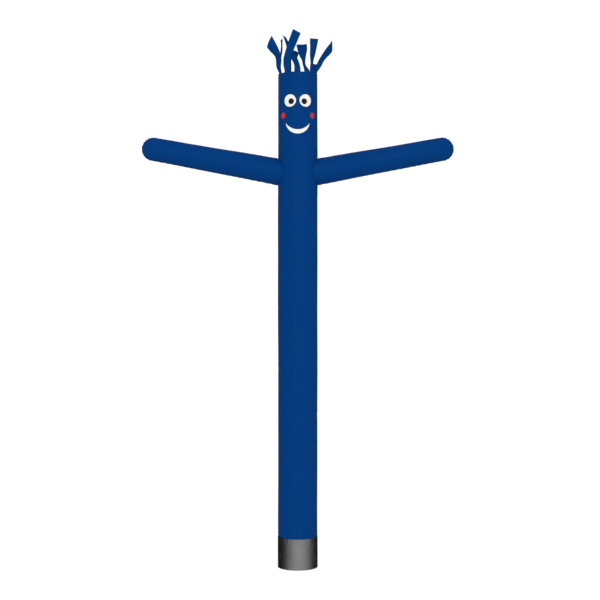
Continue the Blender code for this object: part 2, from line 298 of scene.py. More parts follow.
def raised(relief, strength):
    """The normal of a surface with this relief, in metres."""
    return relief.node("Bump", (), {"Strength": strength, "Distance": 1.0, "Height": relief})


def shades(colour, darkest, lightest):
    """The darkest and the lightest shade of a colour, as shares of it."""
    return [[part * share for part in colour] + [1.0] for share in (darkest, lightest)]


RIPSTOP = 0.008  # a heavier thread every 8 mm, both ways
THREAD_EDGE = (0.0003, 0.0011)  # it thins out between these distances from its middle


def heavy_threads(across):
    """1 on the heavier threads that one direction of the cloth crosses."""
    from_thread = across.maths("PINGPONG", across, RIPSTOP / 2)
    return 1 - from_thread.between(*THREAD_EDGE)


def ripstop_nylon(name, colour):
    """Thin, tightly woven cloth with a grid of heavier threads. Its UV map is in metres."""
    finish, shader, uv = new_finish(name, roughness=0.55, specular=0.02)
    across = uv.node("SeparateXYZ", (), {0: uv})
    warp = heavy_threads(across)
    threads = warp.maths("MAXIMUM", warp, heavy_threads(across.other("Y")))
    cloudy = uv.node("TexNoise", (), {"Vector": uv, "Scale": 2.2, "Detail": 3.0})
    slubs = uv.node("TexNoise", (), {"Vector": uv, "Scale": 900.0, "Detail": 1.0})
    crumple = uv.node(
        "TexNoise", (), {"Vector": uv, "Scale": 14.0, "Detail": 4.0, "Distortion": 0.6}
    )
    shade = 0.34 + 0.26 * cloudy + 0.16 * (slubs - 0.5) + 0.50 * threads
    plug(
        shader,
        Base_Color=shade.mixed(*shades(colour, 0.80, 1.20)),
        Roughness=0.50 + 0.12 * crumple - 0.10 * threads,
        Normal=raised(0.00015 * threads + 0.00008 * slubs + 0.0022 * crumple, strength=0.6),
    )
    return finish


blue_nylon = ripstop_nylon("blue_nylon", colour=(0.0003, 0.0370, 0.171))


def spaced(*stretches):
    """Places of grid lines from stretches of (start, end, spacing), each next to the one before."""
    lines = [stretches[0][0]]
    for start, end, spacing in stretches:
        steps = max(1, round((end - start) / spacing))
        lines += [start + (end - start) * step / steps for step in range(1, steps + 1)]
    return lines


def apply_modifiers(piece):
    """The mesh as its modifiers leave it, with its folded edges sharp."""
    evaluated = piece.evaluated_get(bpy.context.evaluated_depsgraph_get())
    mesh = bpy.data.meshes.new_from_object(evaluated)
    piece.modifiers.clear()
    piece.data = mesh
    mesh.shade_smooth()
    mesh.set_sharp_from_angle(angle=math.radians(50))


def add_piece(name, shape, material):
    """Makes the finished shape a piece of its own."""
    mesh = bpy.data.meshes.new(name)
    shape.to_mesh(mesh)
    shape.free()
    mesh.materials.append(material)
    mesh.shade_smooth()
    piece = bpy.data.objects.new(name, mesh)
    bpy.context.scene.collection.objects.link(piece)
    return piece


def make_cloth(name, columns, rows, pattern, place, thickness, material, holes=()):
    """A sheet of cloth. pattern gives a place on the flat cut for a column and a row, which the UV
    map keeps, and place gives the point in the made-up piece. Edges that meet are sewn."""
    shape = bmesh.new()
    flat = shape.loops.layers.uv.new("pattern")
    across, up = len(columns) - 1, len(rows) - 1
    bmesh.ops.create_grid(shape, x_segments=across, y_segments=up, size=0.5)
    for vertex in shape.verts:
        column = columns[round((vertex.co.x + 0.5) * across)]
        row = rows[round((vertex.co.y + 0.5) * up)]
        vertex.co = (column, row, 0)
    for face in shape.faces:
        for loop in face.loops:
            loop[flat].uv = pattern(loop.vert.co.x, loop.vert.co.y)
    for vertex in shape.verts:
        vertex.co = place(vertex.co.x, vertex.co.y)
    bmesh.ops.remove_doubles(shape, verts=shape.verts, dist=1e-5)
    piece = add_piece(name, shape, material)
    shell = piece.modifiers.new("cloth", "SOLIDIFY")
    shell.thickness, shell.offset = thickness, -1
    if holes:  # flat facets cut cleanly
        piece.modifiers.new("flat_facets", "TRIANGULATE")
    for hole in holes:
        cut = piece.modifiers.new("hole", "BOOLEAN")
        cut.object, cut.solver = hole, "EXACT"
    bpy.context.view_layer.update()
    apply_modifiers(piece)
    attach(piece, "root")
    return piece


HOLE_FROM_SEAM = 0.008  # a hole's edge lies this far inside the seam round the arm's root
HOLE_CUTTER = (0.12, 0.40)  # the rod that cuts it runs between these places along the arm


def make_arm_hole(side):
    """The rod that cuts the round hole that an arm opens into."""
    shape = bmesh.new()
    outwards, up, round_it = arm_axes(side)
    start, end = HOLE_CUTTER
    frame_of_arm = Matrix((up, round_it, outwards)).transposed().to_4x4()
    bmesh.ops.create_cone(
        shape,
        cap_ends=True,
        segments=72,
        radius1=arm_radius(start) - HOLE_FROM_SEAM,
        radius2=arm_radius(end) - HOLE_FROM_SEAM,
        depth=end - start,
        matrix=Matrix.Translation((0, 0, ARM_AXIS_HEIGHT))
        @ frame_of_arm
        @ Matrix.Translation((0, 0, (start + end) / 2)),
    )
    bmesh.ops.recalc_face_normals(shape, faces=shape.faces)
    return add_piece("hole_cutter", shape, blue_nylon)


def tube_place(around, along):
    """Up the outside from the foot, over the top edge and down the inside of the hem."""
    over = min(max(along - TUBE_STRAIGHT, 0.0), math.pi * HEM_FOLD) / HEM_FOLD
    down = max(along - TUBE_STRAIGHT - math.pi * HEM_FOLD, 0.0)
    height = TUBE_FOOT + min(along, TUBE_STRAIGHT) + HEM_FOLD * math.sin(over) - down
    return on_wall(around, height, wall(around, height) - HEM_FOLD * (1 - math.cos(over)))


BY_SEAM = HALF_TURN - 0.24  # the puckers of the back seam start here
BELOW_RIM = TUBE_STRAIGHT - 0.10
HEM_START = TUBE_STRAIGHT + math.pi * HEM_FOLD  # past the fold
holes = [make_arm_hole(side) for side in (-1, 1)]
tube_cloth = make_cloth(
    "tube_cloth",
    columns=spaced(
        (-HALF_TURN, -BY_SEAM, 0.030),
        (-BY_SEAM, BY_SEAM, 0.048),
        (BY_SEAM, HALF_TURN, 0.030),
    ),
    rows=spaced(
        (0, 0.14, 0.010),  # inside the sleeve, and the gathers over it
        (0.14, 3.74, 0.019),  # the trunk
        (3.74, 4.46, 0.011),  # the chest, with the arms' holes
        (4.46, BELOW_RIM, 0.018),  # the head
        (BELOW_RIM, TUBE_STRAIGHT, 0.009),
        (TUBE_STRAIGHT, HEM_START, math.pi * HEM_FOLD / 4),
        (HEM_START, HEM_START + RIM_HEM, 0.010),
    ),
    pattern=lambda around, along: (around * TUBE_RADIUS, along),
    place=tube_place,
    thickness=NYLON,
    material=blue_nylon,
    holes=holes,
)
for hole in holes:
    bpy.data.objects.remove(hole)
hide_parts("tube")

# ---------------------------------------------------------------- the tube's thread
# Bonded polyester thread in the cloth's blue: two rows down the felled back seam, and two rows
# round the top hem.
THREAD = 0.0006  # radius
STITCH = 0.0055  # length
STITCH_PITCH = 0.0080
SEAM_ROWS = (-0.006, 0.006)  # a felled seam's two rows, across from its middle


def twisted_thread(name, roughness, dark, light):
    """Thread whose plies catch the light in turn."""
    finish, shader, near = new_finish(name, roughness, specular=0.3, coordinates="Object")
    twist = near.node("TexNoise", (), {"Vector": near, "Scale": 1500.0, "Detail": 1.0})
    plug(shader, Base_Color=twist.mixed(dark, light))
    return finish


blue_thread = twisted_thread("blue_thread", 0.45, (0.003, 0.055, 0.21, 1), (0.010, 0.115, 0.40, 1))


def row_of_stitches(shape, start, step, count, along=None, length=STITCH, radius=THREAD):
    """Lays one stitch flat at start, its length along step or another direction, and repeats it
    by step to a row of them."""
    run = (along or step).normalized()
    turned = Matrix((run, Vector((-run.y, run.x, 0)), Vector((0, 0, 1)))).transposed().to_4x4()
    turned.translation = start
    stitch = bmesh.ops.create_uvsphere(
        shape,
        u_segments=4,
        v_segments=3,
        radius=1.0,
        matrix=turned @ Matrix.Diagonal((length / 2, radius, radius, 1)),
    )["verts"]
    faces = {face for vertex in stitch for face in vertex.link_faces}
    bmesh.ops.spin(
        shape,
        geom=list(faces),
        cent=(0, 0, 0),
        axis=(0, 0, 1),
        dvec=step,
        angle=0.0,
        steps=count - 1,
        use_duplicate=True,
    )


def made_up(name, shape, place, thread):
    """Stitches that were laid flat become a piece, where place puts each (across, up, off)."""
    for vertex in shape.verts:
        vertex.co = place(*vertex.co)
    if shape.calc_volume(signed=True) < 0:
        bmesh.ops.reverse_faces(shape, faces=shape.faces)
    piece = add_piece(name, shape, thread)
    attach(piece, "root")
    return piece


def rows_across(shape, width, heights, **sizes):
    """Rows from side to side of a panel this wide, at these heights up it."""
    count = round(width / STITCH_PITCH)
    step = Vector((width / count, 0, 0))
    for height in heights:
        row_of_stitches(shape, Vector((-width / 2, height, 0)), step, count, **sizes)


def rows_up_seam(shape, width, low, count):
    """The two rows of the seam that joins the sides of a panel this wide, from low up."""
    for beside in SEAM_ROWS:
        start = Vector((width / 2 + beside, low, 0))
        row_of_stitches(shape, start, Vector((0, STITCH_PITCH, 0)), count)


def tube_stitch_place(across, up, off):
    around = across / TUBE_RADIUS
    return on_wall(around, up, wall(around, up) + off + THREAD / 2)


shape = bmesh.new()
rows_across(shape, TUBE_FLAT[0], [TUBE_TOP - below_rim for below_rim in HEM_ROWS])
seam_stitches = int((TUBE_TOP - SLEEVE_TOP) / STITCH_PITCH) - 2
rows_up_seam(shape, TUBE_FLAT[0], SLEEVE_TOP + STITCH_PITCH, seam_stitches)
tube_stitching = made_up("tube_stitching", shape, tube_stitch_place, blue_thread)

# ---------------------------------------------------------------- the arms
# Each arm is one tapered panel of the same nylon. A seam runs along its underside and round the
# closed hand, which the air leaves a little flat, and its root is sewn round the tube's hole.
HAND_FLATNESS = 0.64  # depth of the hand at its tip, as a share of its height
HAND_BLEND = 1.5 * ARM_HAND_RADIUS  # the flattening starts this far from the tip
ROOT_BLEND = 0.50  # past here the arm's rings are square to its axis
ARM_START = 0.16  # the root's edge, on the path along the cloth
HAND_END = ARM_WRIST + ARM_HAND_RADIUS * math.pi / 2  # along the outside of the cloth
HAND_PUCKER_HEIGHT = 0.0024
HAND_GROOVE_WIDTH = 0.007
ARM_FLAT = (2 * math.pi * ARM_ROOT_RADIUS, 1.72)  # round the root, and out to the hand's seam
ROOT_ROW = 0.008  # the row of stitches round the root, out from the tube
LONG_SEAM = (0.020, ARM_WRIST - 0.30)  # where the rows of the long seam start, and their length
ROOT_SEARCH = (0.05, 0.45)  # the tube's wall lies between these places along the arm
ROOT_HALVINGS = 22
ARM_CREASES = (  # around is from the top of the arm, height is along it from the tube's axis
    Crease(60, 0.62, 78, 0.34, 0.022, 0.0036),
    Crease(-75, 0.80, 98, 0.30, 0.024, 0.0032),
    Crease(118, 1.02, 84, 0.36, 0.024, 0.0034),
    Crease(-30, 1.18, 72, 0.30, 0.022, 0.0026),
    Crease(20, 0.42, 64, 0.22, 0.020, 0.0030),
    Crease(-130, 0.50, 100, 0.26, 0.024, 0.0036),
    Crease(85, 1.44, 96, 0.26, 0.022, 0.0034),
    Crease(-98, 1.38, 82, 0.30, 0.022, 0.0036),
)


def round_hand(path):
    """How far round the hand's end a place on the cloth is: 0 at the wrist, a quarter turn at the
    tip. path is measured along the outside from the tube's axis."""
    return min(max(path - ARM_WRIST, 0.0) / ARM_HAND_RADIUS, math.pi / 2)


def hand_pucker(turn, path):
    """The hand's seam lies in its middle plane, and the cloth on both sides puckers into it."""
    from_seam = ARM_HAND_RADIUS * math.cos(round_hand(path)) * math.sin(turn)
    outline = path if math.cos(turn) > 0 else 2 * HAND_END - path
    side = 1 if from_seam > 0 else -1
    wave = math.sin(outline / 0.0068 + 1.1 * math.sin(outline / 0.06) + 0.7 * side)
    wave += 0.5 * math.sin(outline / 0.0115 + side)
    groove = GROOVE_DEPTH * bell(from_seam, HAND_GROOVE_WIDTH)
    return HAND_PUCKER_HEIGHT * wave * beside_seam(from_seam) - groove


def arm_out(turn, along, path, from_root):
    """How far the arm's cloth stands out of its plain shape."""
    radius = arm_radius(min(along, ARM_WRIST))
    out = 0.0011 * math.sin(2 * turn + 4.1 * along) + 0.0008 * math.sin(3 * turn - 7 * along)
    out *= math.cos(round_hand(path))
    hand = smooth_step((along - ARM_WRIST + 0.10) / 0.12)
    out += seam_pucker(along, turned_from(turn, HALF_TURN) * radius) * (1 - hand)
    out += hand_pucker(turn, path) * hand
    out += root_pucker(turn, from_root)
    for crease in ARM_CREASES:
        rise = along - crease.height
        if abs(rise) < crease.length:
            run = turned_from(turn, math.radians(crease.around)) * radius
            out -= trough(crease, run, rise, sway=0.010, sway_length=0.06, ridge=0.4, ridge_at=-1.6)
    return out


def make_arm(side):
    """Sews one arm round its hole in the tube, with its rows of stitching."""
    name = "arm_right" if side > 0 else "arm_left"
    outwards, up, round_it = arm_axes(side)
    middle = Vector((0, 0, ARM_AXIS_HEIGHT))

    def place_at(turn, along, path, from_root, off=0.0):
        """The point in one direction round the arm, so far along it and off its cloth."""
        over = round_hand(path)
        radius = arm_radius(along) if over <= 0 else ARM_HAND_RADIUS * math.cos(over)
        depth = HAND_FLATNESS + (1 - HAND_FLATNESS) * smooth_step((ARM_TIP - along) / HAND_BLEND)
        out = arm_out(turn, along, path, from_root) + off
        radius += out * math.cos(over)
        along += out * math.sin(over)
        return (
            middle
            + outwards * along
            + up * radius * math.cos(turn)
            + round_it * radius * math.sin(turn) * depth
        )

    @functools.cache
    def root_of(turn):
        """Where along the arm the tube's wall is, on one line of the arm."""
        low, high = ROOT_SEARCH
        for _ in range(ROOT_HALVINGS):
            along = (low + high) / 2
            point = place_at(turn, along, along, 0.0)
            around = math.atan2(point.x, -point.y)
            in_tube = math.hypot(point.x, point.y) < wall(around, point.z) + NYLON / 2
            low, high = (along, high) if in_tube else (low, along)
        return (low + high) / 2

    def along_at(turn, path):
        """The rings of the cloth follow the tube's wall at the root, and straighten out from it."""
        if path >= ROOT_BLEND:
            return min(path, ARM_WRIST)
        share = (path - ARM_START) / (ROOT_BLEND - ARM_START)
        return root_of(turn) + (ROOT_BLEND - root_of(turn)) * share

    def place(turn, path):
        along = along_at(turn, path) + ARM_HAND_RADIUS * math.sin(round_hand(path))
        return place_at(turn, along, max(path, min(along, ARM_WRIST)), along - root_of(turn))

    arm = make_cloth(
        name + "_cloth",
        columns=spaced((-HALF_TURN, HALF_TURN, 0.055)),
        rows=spaced(
            (ARM_START, ARM_START + 0.12, 0.009),  # the puckered root
            (ARM_START + 0.12, ARM_WRIST - 0.12, 0.016),
            (ARM_WRIST - 0.12, HAND_END, 0.008),  # the hand
        ),
        pattern=lambda turn, path: (turn * arm_radius(min(path, ARM_WRIST)), path),
        place=place,
        thickness=NYLON,
        material=blue_nylon,
    )
    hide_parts(name)

    shape = bmesh.new()
    rows_across(shape, ARM_FLAT[0], [ROOT_ROW])
    rows_up_seam(shape, ARM_FLAT[0], LONG_SEAM[0], int(LONG_SEAM[1] / STITCH_PITCH))

    def stitch_place(across, up, off):
        """The root's row spreads round the arm, and the long seam's rows keep their distance."""
        to_seam = ARM_FLAT[0] / 2
        turn = HALF_TURN * across / to_seam
        if up > ROOT_ROW + STITCH / 2:
            turn = HALF_TURN + (across - to_seam) / arm_radius(up)
        along = root_of(turn) + up
        return place_at(turn, along, along, up, off + THREAD / 2)

    stitching = made_up(name + "_stitching", shape, stitch_place, blue_thread)


for side in (-1, 1):
    make_arm(side)

# ---------------------------------------------------------------- the streamers
# The hair is twelve strips cut from the same nylon with a hot knife. Each is sewn inside the top
# hem, curved as the rim is, and blows its own way above it; two have flopped over the back.
STREAMER_ROOT_WIDTH = 0.072
STREAMER_SEWN = 0.027  # length that lies inside the hem
STREAMER_CLEAR = 0.004  # it is still straight this far above the rim
STREAMER_INSET = 0.0036  # its outer face from the tube's, at the rim
STREAMER_UNGATHERED = 0.06  # the rim's gathers are gone from it this far up
STREAMER_FOLD = 0.0045  # depth of its soft fold
STREAMER_RIPPLE = 0.003  # height of the ripples along its edges
STREAMER_SWAY = 0.004  # how far it waves to and fro as a whole
CUP_AT_TIP = 0.35  # how much of the rim's curve is left across a streamer's tip

# around: place on the rim in degrees, 0 at the front and 90 on the +X side. width: of the cloth at
# the free end. slant: how much longer one edge is cut than the other. flutter: where its ripples
# start. low, mid and tip: where the middle of the cloth has got to on its way up, from its place on
# the rim, and which way it faces there in degrees (0 has its outer face to the front).
Hold = namedtuple("Hold", "across back up turn")
Streamer = namedtuple("Streamer", "name around width slant flutter low mid tip")
STREAMERS = (
    Streamer(
        "streamer_front_1", around=-66, width=0.120, slant=0.085, flutter=0.5,
        low=Hold(-0.016, -0.004, 0.075, -46),
        mid=Hold(-0.027, -0.009, 0.205, -40),
        tip=Hold(-0.127, -0.029, 0.368, -4),
    ),
    Streamer(
        "streamer_front_2", around=-33, width=0.100, slant=-0.01, flutter=2.1,
        low=Hold(-0.006, -0.010, 0.080, -14),
        mid=Hold(0.000, -0.028, 0.160, -8),
        tip=Hold(0.112, -0.058, 0.457, 8),
    ),
    Streamer(
        "streamer_front_3", around=-1, width=0.100, slant=0.0, flutter=3.4,
        low=Hold(-0.003, 0.010, 0.080, 30),
        mid=Hold(-0.038, 0.030, 0.160, 24),
        tip=Hold(-0.148, 0.125, 0.432, 70),
    ),
    Streamer(
        "streamer_front_4", around=28, width=0.118, slant=-0.012, flutter=5.2,
        low=Hold(-0.028, 0.003, 0.084, 64),
        mid=Hold(-0.038, -0.029, 0.168, 48),
        tip=Hold(-0.062, -0.150, 0.280, 0),
    ),
    Streamer(
        "streamer_front_5", around=49, width=0.095, slant=0.0, flutter=0.9,
        low=Hold(-0.003, -0.008, 0.098, 64),
        mid=Hold(0.003, -0.024, 0.204, 50),
        tip=Hold(0.019, -0.063, 0.378, 6),
    ),
    Streamer(
        "streamer_front_6", around=68, width=0.095, slant=-0.095, flutter=4.3,
        low=Hold(0.026, -0.001, 0.071, 46),
        mid=Hold(0.092, -0.006, 0.195, 38),
        tip=Hold(0.193, -0.016, 0.314, 26),
    ),
    Streamer(
        "streamer_back_1", around=98, width=0.095, slant=0.0, flutter=1.7,
        low=Hold(0.022, 0.019, 0.114, 88),
        mid=Hold(0.066, 0.039, 0.200, 80),
        tip=Hold(0.125, 0.059, 0.273, 70),
    ),
    Streamer(
        "streamer_back_2", around=130, width=0.090, slant=0.0, flutter=2.9,
        low=Hold(0.010, 0.030, 0.122, 142),
        mid=Hold(0.016, 0.125, 0.168, 165),
        tip=Hold(0.008, 0.226, 0.030, 184),
    ),
    Streamer(
        "streamer_back_3", around=156, width=0.098, slant=0.0, flutter=5.9,
        low=Hold(-0.004, 0.022, 0.046, 162),
        mid=Hold(-0.016, 0.088, 0.044, 170),
        tip=Hold(-0.050, 0.190, -0.170, 176),
    ),
    Streamer(
        "streamer_back_4", around=180, width=0.095, slant=0.0, flutter=0.2,
        low=Hold(-0.008, -0.004, 0.146, 130),
        mid=Hold(-0.032, -0.024, 0.230, 130),
        tip=Hold(-0.018, -0.064, 0.305, 130),
    ),
    Streamer(
        "streamer_back_5", around=-152, width=0.095, slant=0.0, flutter=3.8,
        low=Hold(-0.006, 0.015, 0.144, -152),
        mid=Hold(-0.005, 0.030, 0.254, -150),
        tip=Hold(0.018, 0.060, 0.360, -135),
    ),
    Streamer(
        "streamer_back_6", around=-116, width=0.095, slant=0.0, flutter=1.2,
        low=Hold(-0.010, 0.022, 0.127, -98),
        mid=Hold(0.005, 0.042, 0.248, -76),
        tip=Hold(0.009, 0.062, 0.444, -74),
    ),
)


def through(stations, values, slope, at):
    """A smooth curve through a value at each station, with a given slope at the first one."""
    last = len(stations) - 1
    slopes = [slope]
    for low in range(last):
        high = min(low + 2, last)
        slopes.append((values[high] - values[low]) / (stations[high] - stations[low]))
    here = next((place for place in range(last) if at <= stations[place + 1]), last - 1)
    span = stations[here + 1] - stations[here]
    share = (at - stations[here]) / span
    return (
        values[here] * (2 * share**3 - 3 * share**2 + 1)
        + slopes[here] * span * (share**3 - 2 * share**2 + share)
        + values[here + 1] * (3 * share**2 - 2 * share**3)
        + slopes[here + 1] * span * (share**3 - share**2)
    )


def make_streamer(row):
    """Sews one strip inside the rim and carries it through the places that its row gives."""
    around = math.radians(row.around)
    root_radius = TUBE_RADIUS - STREAMER_INSET
    root = on_wall(around, TUBE_TOP, root_radius)
    upright = Vector((0, 0, 1))
    stations, places, turns = [STREAMER_CLEAR], [root + upright * STREAMER_CLEAR], [row.around]
    for hold in (row.low, row.mid, row.tip):
        point = root + Vector((hold.across, hold.back, hold.up))
        stations.append(stations[-1] + (point - places[-1]).length)
        places.append(point)
        turns.append(hold.turn)
    length = stations[-1]

    def middle(at):
        if at < STREAMER_CLEAR:
            return root + upright * at
        return through(stations, places, upright, at)

    def width_at(at):
        share = smooth_step(at / length)
        return STREAMER_ROOT_WIDTH + (row.width - STREAMER_ROOT_WIDTH) * share

    def place(across, at):
        share = smooth_step(at / length)
        width = width_at(at)
        at += row.slant * across * share
        along = (middle(at + 0.001) - middle(at - 0.001)).normalized()
        turn = math.radians(through(stations, turns, 0, max(at, STREAMER_CLEAR)))
        sideways = Vector((math.cos(turn), math.sin(turn), 0.0))
        sideways = (sideways - along * sideways.dot(along)).normalized()
        outwards = sideways.cross(along)
        bend = (1 - (1 - CUP_AT_TIP) * share) / root_radius
        angle = across * width * bend
        # Above the rim the cloth has a soft lengthways fold, and its free edges ripple.
        fold = STREAMER_FOLD * math.cos(2.4 * math.pi * across + row.flutter) * (1 - share / 2)
        ripple = STREAMER_RIPPLE * (2 * across) ** 3 * math.sin(at / 0.030 + row.flutter)
        sway = STREAMER_SWAY * share * math.sin(at / 0.045 + 2 * row.flutter)
        lift = (fold + ripple + sway) * smooth_step((at - 0.02) / 0.12)
        if at < STREAMER_UNGATHERED:
            here = around + across * width / root_radius
            rim = wall(here, TUBE_TOP + min(at, 0)) - TUBE_RADIUS
            lift += rim * (1 - smooth_step(at / STREAMER_UNGATHERED))
        return (
            middle(at)
            + sideways * (math.sin(angle) / bend)
            + outwards * ((math.cos(angle) - 1) / bend + lift)
        )

    cloth = make_cloth(
        row.name + "_cloth",
        columns=[step / 12 - 0.5 for step in range(13)],
        rows=spaced((-STREAMER_SEWN, 0.0, 0.007), (0.0, length, 0.008)),
        pattern=lambda across, at: (across * width_at(at), at),
        place=place,
        thickness=NYLON,
        material=blue_nylon,
    )
    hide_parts(row.name)
    flat_width = max(row.width, STREAMER_ROOT_WIDTH)
    flat_length = length + STREAMER_SEWN
    (row.width + STREAMER_ROOT_WIDTH) / 2 * flat_length


for row in STREAMERS:
    make_streamer(row)

# ---------------------------------------------------------------- the sleeve
# Heavy black vinyl-coated cloth that the blower's collar goes into. The tube's lower edge is sewn
# inside its top with two rows, and its foot is a doubled hem.
VINYL = 0.0014  # thickness of the sleeve's cloth
SLEEVE_HEM = 0.040
SLEEVE_FOLD = 0.0016  # radius of the fold at the foot
SLEEVE_OFF_TUBE = 0.0023  # its outer face from the tube's
SLEEVE_LAP = SLEEVE_TOP - TUBE_FOOT  # how far the tube goes down inside it
SLEEVE_ROWS = (SLEEVE_TOP - 0.008, SLEEVE_TOP - SLEEVE_LAP + 0.008, SLEEVE_HEM - 0.006)
SLEEVE_THREAD = 0.0007  # radius
SLEEVE_THREAD_PROUD = 0.0004  # its middle stands this far off the vinyl
SCRIM = 0.0009  # spacing of the threads that show through the coating

# Along the sleeve's cloth from the hem's inner edge: where the fold starts and ends, and the whole.
FOLD_START = SLEEVE_HEM - SLEEVE_FOLD
FOLD_END = FOLD_START + math.pi * SLEEVE_FOLD
SLEEVE_LENGTH = FOLD_END + SLEEVE_TOP - SLEEVE_FOLD


def coated_vinyl(name, dark, light):
    """Soft vinyl on a woven scrim, dented and a little scuffed."""
    finish, shader, uv = new_finish(name, roughness=0.42, specular=0.9)
    scuffs = uv.node(
        "TexNoise", (), {"Vector": uv, "Scale": 9.0, "Detail": 5.0, "Roughness": 0.62}
    )
    dents = uv.node("TexNoise", (), {"Vector": uv, "Scale": 13.0, "Detail": 2.0, "Distortion": 0.8})
    grain = uv.node("TexVoronoi", (), {"Vector": uv, "Scale": 420.0})
    across = uv.node("SeparateXYZ", (), {0: uv})
    warp, weft = (way.maths("PINGPONG", way, SCRIM) for way in (across, across.other("Y")))
    worn = scuffs.between(0.52, 0.72)
    relief = 0.00005 * grain + 0.10 * (warp + weft) + 0.0006 * scuffs + 0.005 * dents
    plug(
        shader,
        Base_Color=(0.35 * scuffs + 0.35 * worn).mixed(dark, light),
        Roughness=0.34 + 0.12 * scuffs + 0.10 * worn,
        Normal=raised(relief, strength=0.5),
    )
    return finish


black_vinyl = coated_vinyl("black_vinyl", (0.003, 0.003, 0.0033, 1), (0.016, 0.016, 0.017, 1))
black_thread = twisted_thread("black_thread", 0.5, (0.01, 0.01, 0.011, 1), (0.06, 0.06, 0.064, 1))


def sleeve_wall(around, height):
    """How far the sleeve's outer face is from its axis. It follows the tube's cloth where they
    lap, and is stiff enough to stand nearly round below that."""
    uneven = 0.0011 * math.sin(5 * around + 9 * height) * math.sin(math.pi * height / SLEEVE_TOP)
    stiff = TUBE_RADIUS + 0.0006 * math.sin(3 * around + 1) + uneven
    lapped = smooth_step((height - SLEEVE_TOP + 0.10) / 0.06)
    flare = 0.0016 * bell(SLEEVE_TOP - height, 0.006)
    groove = 0.0010 * bell(height - SLEEVE_ROWS[2], 0.004)
    return stiff + (wall(around, height) - stiff) * lapped + SLEEVE_OFF_TUBE + flare - groove


def sleeve_place(around, along):
    """From the hem's top edge down the inside, round the fold at the floor, and up the outside."""
    under = min(max(along - FOLD_START, 0.0), math.pi * SLEEVE_FOLD) / SLEEVE_FOLD
    rise = max(along - FOLD_END, 0.0)
    height = SLEEVE_HEM - min(along, FOLD_START) - SLEEVE_FOLD * math.sin(under) + rise
    inset = SLEEVE_FOLD * (1 + math.cos(under))
    return on_wall(around, height, sleeve_wall(around, height) - inset)


def sleeve_stitch_place(across, up, off):
    around = across / TUBE_RADIUS
    return on_wall(around, up, sleeve_wall(around, up) + off + SLEEVE_THREAD_PROUD)


sleeve_cloth = make_cloth(
    "sleeve_cloth",
    columns=spaced((-HALF_TURN, HALF_TURN, 0.040)),
    rows=spaced(
        (0, FOLD_START, 0.010),
        (FOLD_START, FOLD_END, math.pi * SLEEVE_FOLD / 6),
        (FOLD_END, SLEEVE_LENGTH - 0.03, 0.009),
        (SLEEVE_LENGTH - 0.03, SLEEVE_LENGTH, 0.003),
    ),
    pattern=lambda around, along: (around * TUBE_RADIUS, along),
    place=sleeve_place,
    thickness=VINYL,
    material=black_vinyl,
)
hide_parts("sleeve")

shape = bmesh.new()
rows_across(shape, TUBE_FLAT[0], SLEEVE_ROWS, radius=SLEEVE_THREAD)
sleeve_stitching = made_up("sleeve_stitching", shape, sleeve_stitch_place, black_thread)

# ---------------------------------------------------------------- the face
# A plain cheerful face of round eyes, cheeks and a curved smile, cut from coated cloth. Each patch
# is glued down, then sewn round its edge with a close zigzag.
PATCH = 0.0007  # thickness of a patch
SEWN_GAP = 0.0003  # between a patch and the cloth under it
ZIGZAG = 0.0042  # width of the zigzag
ZIGZAG_PITCH = 0.0030
ZIGZAG_THREAD = 0.0008  # radius


def patch_cloth(name, colour):
    """Smooth coated cloth, with a fine weave showing through."""
    finish, shader, uv = new_finish(name, roughness=0.5, specular=0.06)
    weave = uv.node("TexNoise", (), {"Vector": uv, "Scale": 700.0, "Detail": 1.0})
    cloudy = uv.node("TexNoise", (), {"Vector": uv, "Scale": 18.0, "Detail": 3.0})
    plug(
        shader,
        Base_Color=(0.5 * weave + 0.5 * cloudy).mixed(*shades(colour, 0.86, 1.06)),
        Roughness=0.46 + 0.14 * cloudy,
        Normal=raised(0.00005 * weave + 0.0004 * cloudy, strength=0.6),
    )
    return finish


face_cloths = {
    "white_patch": patch_cloth("white_patch", (0.86, 0.86, 0.84)),
    "black_patch": patch_cloth("black_patch", (0.008, 0.008, 0.009)),
    "red_patch": patch_cloth("red_patch", (0.62, 0.030, 0.022)),
}

# around: its middle's place on the head, in degrees. layer: 0 on the head, 1 on a lower patch.
RoundPatch = namedtuple("RoundPatch", "node slot around layer")
ROUND_PATCHES = (
    RoundPatch("eye_white_left", "white_patch", -23, 0),
    RoundPatch("eye_white_right", "white_patch", 23, 0),
    RoundPatch("pupil_left", "black_patch", -19, 1),
    RoundPatch("pupil_right", "black_patch", 19, 1),
    RoundPatch("cheek_left", "red_patch", -47, 0),
    RoundPatch("cheek_right", "red_patch", 47, 0),
)


def on_head(across, height, around, layer, off=0.0):
    """A point that is across from a patch's middle, straight over the head's curve."""
    turn = math.radians(around) + math.asin(across / TUBE_RADIUS)
    lift = (layer + 1) * (SEWN_GAP + PATCH) + off
    return on_wall(turn, height, wall(turn, height) + lift)


def zigzag(name, length, edge):
    """A close zigzag over an edge. edge gives the point at a place along it, so far out of it."""
    shape = bmesh.new()
    count = round(length / ZIGZAG_PITCH)
    pitch = length / count
    for start, lean in ((0.0, 1), (pitch / 2, -1)):
        row_of_stitches(
            shape,
            Vector((start, 0, 0)),
            Vector((pitch, 0, 0)),
            count,
            along=Vector((pitch / 2, lean * ZIGZAG, 0)),
            length=ZIGZAG,
            radius=ZIGZAG_THREAD,
        )
    stitching = made_up(name + "_stitching", shape, edge, black_thread)
    return stitching


def sew_patch(node, slot, columns, rows, pattern, place, edge_length, edge, **cut):
    """Lays one patch on the head and sews it round its edge. cut is its flat size, which is not used.
    """
    cloth = make_cloth(
        node + "_cloth",
        columns=columns,
        rows=rows,
        pattern=pattern,
        place=place,
        thickness=PATCH,
        material=face_cloths[slot],
    )
    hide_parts(node)
    stitching = zigzag(node, edge_length, edge)


